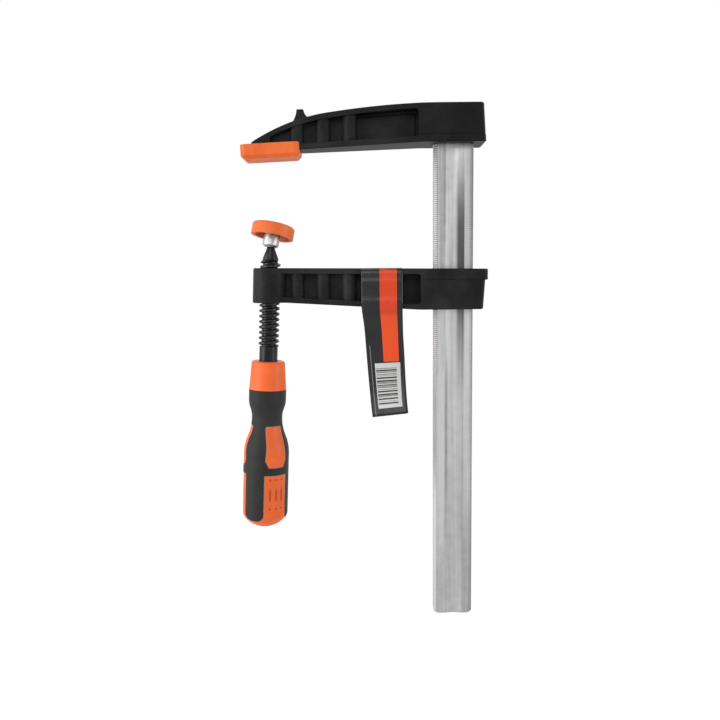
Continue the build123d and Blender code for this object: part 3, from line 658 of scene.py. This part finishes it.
# Hang tag
# A strip of printed film folded over the arm, with its two ends welded together below it. The print is an
# orange stripe, a white panel with plain bars and a thin pale line on dark grey.
tag_low, tag_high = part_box("hang_tag")
TAG_WIDTH = 0.0295
TAG_FILM = 0.00025
TAG_LOOSE = 0.0007
TAG_LEAN = math.tan(math.radians(2.75))
TAG_SHIFT = 0.0011
TAG_CURL = 1.45
TAG_CURL_TOP = 0.055
TAG_TWIST = math.radians(21.0)
TAG_TWIST_RUN = 0.0045
TAIL_TWIST = math.radians(8.0)
TAIL_TWIST_TOP = 0.032
TAIL_FORWARD = 0.0030
TAG_SLIP = 0.0012
TAG_BEND = 0.003
FILM_STEPS = 8
LOOP_FOOT = -0.1089
LOOP_END = -0.1249
LINE_TOP = -0.1347
STRIPE_FOOT = -0.1473
PANEL_TOP = -0.1481
PANEL_FOOT = -0.1815
# Heights on the arm's flank, and how far the film bulges off it there.
BULGES = (
    (-0.0850, -0.0001),
    (-0.0887, 0.0010),
    (-0.0915, 0.0002),
    (-0.0986, 0.0002),
    (-0.1031, 0.0016),
    (-0.1056, 0.0004),
)
tag_left = tag_low[0]
tag_top = tag_high[2] - TAG_LOOSE
tag_half = tag_high[1] - TAG_FILM
tail_foot = tag_low[2] + TAG_FILM
film_points = [
    (0, tag_top),
    (-tag_half + TAG_BEND, tag_top),
    (-tag_half, tag_top - TAG_BEND / 2),
    *((-tag_half - bulge, height) for height, bulge in BULGES),
    (-tag_half, LOOP_FOOT),
    (-tag_half * 0.5, (LOOP_FOOT + LOOP_END) / 2 - TAG_BEND / 2),
    (-0.0016, LOOP_END - 2 * TAG_BEND),
    (-0.0006, LOOP_END - 5 * TAG_BEND),
    (-0.0005, (LOOP_END + tail_foot) / 2 - TAG_BEND),
    (-0.0007, tail_foot + 3 * TAG_BEND),
    (-0.0012, tail_foot),
]

film = bmesh.new()
run = film.verts.layers.float.new("run")
chain = []
length = 0.0
for off_arm, height in film_points:
    point = film.verts.new((tag_left, off_arm, height))
    if chain:
        length += (point.co - chain[-1].co).length
    point[run] = length
    chain.append(point)


def run_at(height):
    """Length of film from the top of the arm down to a height on its front."""
    for above, below in zip(chain, chain[1:]):
        if below.co.z <= height < above.co.z:
            share = (above.co.z - height) / (above.co.z - below.co.z)
            return above[run] + share * (below[run] - above[run])
    return 0.0


free_from = run_at(LOOP_FOOT)
line_top = run_at(LINE_TOP)
stripe_foot = run_at(STRIPE_FOOT)
panel_top = run_at(PANEL_TOP)
panel_foot = run_at(PANEL_FOOT)
edge_row = [film.edges.new(pair) for pair in zip(chain, chain[1:])]
for step in range(FILM_STEPS):
    grown = bmesh.ops.extrude_edge_only(film, edges=edge_row)["geom"]
    edge_row = [item for item in grown if isinstance(item, bmesh.types.BMEdge)]
    moved = [item for item in grown if isinstance(item, bmesh.types.BMVert)]
    bmesh.ops.translate(film, verts=moved, vec=(TAG_WIDTH / FILM_STEPS, 0, 0))
front = film.verts[:] + film.edges[:] + film.faces[:]
bmesh.ops.mirror(film, geom=front, axis="Y", merge_dist=1e-5)
print_map = film.loops.layers.uv.new("print")
for face in film.faces:
    way = -1 if face.calc_center_median().y > 0 else 1
    for loop in face.loops:
        loop[print_map].uv = (loop.vert.co.x - tag_left, way * loop.vert[run])
for point in film.verts:
    hanging = max(LOOP_FOOT - point.co.z, 0)
    share = hanging / (LOOP_FOOT - tail_foot)
    off_middle = point.co.x - tag_left - TAG_WIDTH / 2
    turned = hanging / (hanging + TAG_TWIST_RUN)
    in_tail = min(max(hanging / TAIL_TWIST_TOP - 1, 0), 1)
    twist = TAG_TWIST * turned + TAIL_TWIST * in_tail
    curl = TAG_CURL * max(hanging - TAG_CURL_TOP, 0) ** 2
    point.co.x += off_middle * (math.cos(twist) - 1) + TAG_SHIFT * turned + hanging * TAG_LEAN + curl
    if point.co.y > 0:
        point.co.x += TAG_SLIP * share
    point.co.y += off_middle * math.sin(twist) - TAIL_FORWARD * share * share

FILM_GREY = (0.012, 0.012, 0.0125, 1)
FILM_WORN = (0.022, 0.022, 0.0225, 1)
PRINT_ORANGE = (0.66, 0.052, 0.012, 1)
PRINT_ORANGE_LIT = (0.89, 0.086, 0.0150, 1)
PRINT_WHITE = (0.67, 0.67, 0.66, 1)
PRINT_BLACK = (0.02, 0.02, 0.02, 1)
PRINT_PALE = (0.34, 0.34, 0.33, 1)
# The print's sides across the film, from its left edge.
STRIPE_SIDES = (0.0130, 0.0254)
PANEL_SIDES = (0.0058, 0.0263)
BAR_SIDES = (0.0064, 0.0231)
BARS_BELOW_TOP = 0.0035
BARS_ABOVE_FOOT = 0.0020
BAR_SCALE = 900.0
LINE_MIDDLE = 0.0030
LINE_HALF_WIDTH = 0.00018
STRIPE_LIT_FADE = 0.008

printed_film, place = new_finish("printed_film")
u, v, _ = place.node("ShaderNodeUVMap", {"uv_map": "print"}).parts()
in_stripe = u.inside(*STRIPE_SIDES) * (abs(v) < stripe_foot)
in_panel = u.inside(*PANEL_SIDES) * v.inside(panel_top, panel_foot)
in_bars = u.inside(*BAR_SIDES) * v.inside(panel_top + BARS_BELOW_TOP, panel_foot - BARS_ABOVE_FOOT)
bar_noise = place.node(
    "ShaderNodeTexNoise", {"noise_dimensions": "1D"}, {"W": v, "Scale": BAR_SCALE, "Detail": 1.0}
)
bars = in_bars * (bar_noise > 0.50)
pale_line = (abs(u - LINE_MIDDLE) < LINE_HALF_WIDTH) * (v > line_top)
crumple = place.noise(70, 2)
scuff = place.noise(900, 3)
ground = (crumple * 0.5 + scuff * 0.5).ramp(0.35, 0.7).mixed(FILM_GREY, FILM_WORN)
# Painted light: the stripe is lighter where the film hangs free below the arm.
stripe = abs(v).ramp(free_from, free_from + STRIPE_LIT_FADE).mixed(PRINT_ORANGE, PRINT_ORANGE_LIT)
printed = in_stripe.mixed(ground, stripe)
printed = pale_line.mixed(printed, PRINT_PALE)
printed = in_panel.mixed(printed, PRINT_WHITE)
printed = bars.mixed(printed, PRINT_BLACK)
set_surface(
    place,
    Base_Color=printed,
    Roughness=scuff.between(0.12, 0.26),
    Specular=0.26,
    Normal=crumple.bump(0.0006, 0.4),
)
film_inside, place = new_finish("film_inside")
haze = place.noise(140, 3)
set_surface(
    place,
    Base_Color=haze.ramp(0.30, 0.70).mixed(FILM_GREY, FILM_WORN),
    Roughness=haze.between(0.30, 0.46),
    Specular=0.25,
)
tag = new_piece("hang_tag_film", film, printed_film, "arm", smooth=math.pi)
# An open film has no inside of its own: its printed face is turned up on top of the arm, so that it is
# the outer one all round.
top_face = max(tag.data.polygons, key=lambda face: face.center.z)
if top_face.normal.z < 0:
    tag.data.flip_normals()
tag.data.materials.append(film_inside)
rounding = tag.modifiers.new("rounding", "SUBSURF")
rounding.levels = 2
rounding.render_levels = 2
rounding.boundary_smooth = "PRESERVE_CORNERS"
thickness = tag.modifiers.new("thickness", "SOLIDIFY")
thickness.thickness = TAG_FILM
thickness.offset = 0
thickness.material_offset = 1
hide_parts("hang_tag")


# Studio
# A pale floor well below the clamp, which is shown hanging free, a white surround that the camera and
# bright surfaces see, soft light from the front, and a camera that looks a little down.
FLOOR_DROP = 0.30
FLOOR_HALF = 30.0
FLOOR_GLOW = 1.08
FLOOR_SHARE = 0.9
AMBIENT = 0.45
PALE = (0.75, 0.75, 0.75, 1)
WHITE = (1, 1, 1, 1)


def seen_directly(wire):
    """1 for what the camera sees, also by way of a reflection or through something clear."""
    names = ("Is Camera Ray", "Is Glossy Ray", "Is Transmission Ray")
    camera, glossy, clear = wire.node("ShaderNodeLightPath", output=names)
    return wire.math("MINIMUM", camera + glossy + clear, 1.0)


ground_mesh = bmesh.new()
bmesh.ops.create_grid(ground_mesh, x_segments=2, y_segments=2, size=FLOOR_HALF)
bmesh.ops.translate(ground_mesh, verts=ground_mesh.verts, vec=(0, 0, cad_box[0][2] - FLOOR_DROP))
ground_data = bpy.data.meshes.new("floor")
ground_mesh.to_mesh(ground_data)
ground_mesh.free()
pale_floor, place = new_finish("pale_floor")
matt = place.node("ShaderNodeBsdfDiffuse", {}, {"Color": PALE})
white = place.node("ShaderNodeEmission", {}, {"Color": WHITE, "Strength": FLOOR_GLOW})
lit = place.node("ShaderNodeMixShader", {}, {0: seen_directly(place) * FLOOR_SHARE, 1: matt, 2: white})
place.node("ShaderNodeOutputMaterial", {}, {"Surface": lit})
ground_data.materials.append(pale_floor)
floor = bpy.data.objects.new("floor", ground_data)
bpy.context.scene.collection.objects.link(floor)

world = bpy.data.worlds.new("surround")
world.use_nodes = True
world.node_tree.nodes.clear()
sky = Wire(world.node_tree)
soft = sky.node("ShaderNodeBackground", {}, {"Color": WHITE, "Strength": AMBIENT})
bright = sky.node("ShaderNodeBackground", {}, {"Color": WHITE, "Strength": 1.0})
both = sky.node("ShaderNodeMixShader", {}, {0: seen_directly(sky), 1: soft, 2: bright})
sky.node("ShaderNodeOutputWorld", {}, {"Surface": both})
bpy.context.scene.world = world

LAMP_AIM = Vector((0.06, 0, -0.15))
LAMPS = (
    ("key_light", (-1.25, -0.60, 0.05), 1.0, 14.5),
    ("front_light", (-0.15, -1.25, 0.60), 0.6, 4.2),
    ("fill_light", (1.30, -0.40, 0.00), 0.8, 6.5),
    ("back_light", (0.10, 0.80, 0.70), 0.8, 3.0),
)
for name, spot, size, power in LAMPS:
    lamp_data = bpy.data.lights.new(name, "AREA")
    lamp_data.size = size
    lamp_data.energy = power
    lamp = bpy.data.objects.new(name, lamp_data)
    lamp.location = spot
    lamp.rotation_euler = (LAMP_AIM - lamp.location).to_track_quat("-Z", "Y").to_euler()
    bpy.context.scene.collection.objects.link(lamp)

CAMERA_PLACE = (0.06569, -0.56649, -0.08435)
CAMERA_PITCH = math.radians(90 - 6.2)
CAMERA_ROLL = math.radians(-0.58)
camera_data = bpy.data.cameras.new("camera")
camera_data.sensor_width = 36.0
camera_data.lens = 38.3
camera = bpy.data.objects.new("camera", camera_data)
camera_turn = Matrix.Rotation(CAMERA_PITCH, 4, "X") @ Matrix.Rotation(CAMERA_ROLL, 4, "Z")
camera.matrix_world = Matrix.Translation(CAMERA_PLACE) @ camera_turn
bpy.context.scene.collection.objects.link(camera)
bpy.context.scene.camera = camera
bpy.context.scene.view_settings.view_transform = "Standard"
